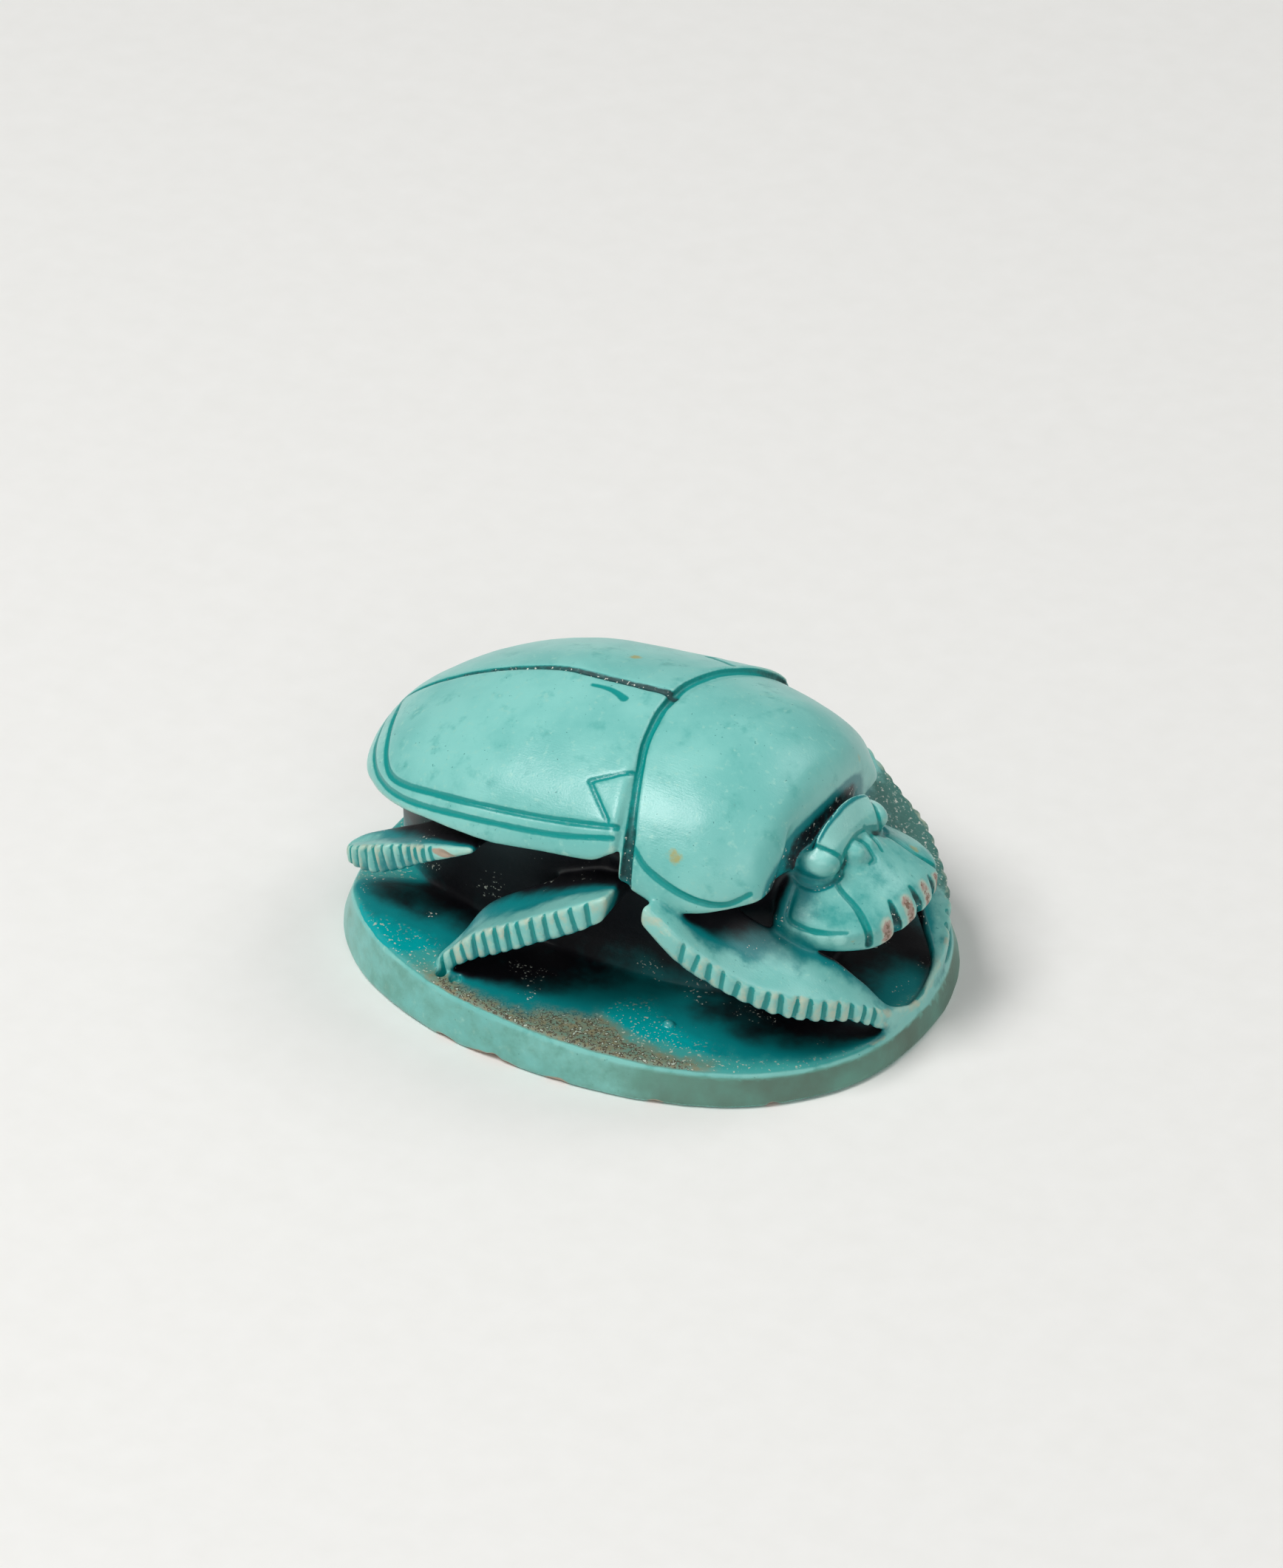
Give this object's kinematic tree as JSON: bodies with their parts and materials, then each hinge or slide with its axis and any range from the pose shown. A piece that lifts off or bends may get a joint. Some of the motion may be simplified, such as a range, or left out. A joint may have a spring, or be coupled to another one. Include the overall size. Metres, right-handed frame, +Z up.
{
  "type": "scarab amulet",
  "caption": "Carved and glazed beetle amulet on a flat oval base, with grooved wing cases, toothed head and hatched legs.",
  "frame": {"origin": "centre of the flat underside of the oval base", "axes": "+X along the base towards the beetle's head, +Y to the beetle's left, +Z up from the underside"},
  "size_m": [0.02, 0.0158, 0.0099],
  "materials": {
    "glaze": "gloss"
  },
  "bodies": {
    "root": {"scarab": "glaze"}
  },
  "joints": []
}
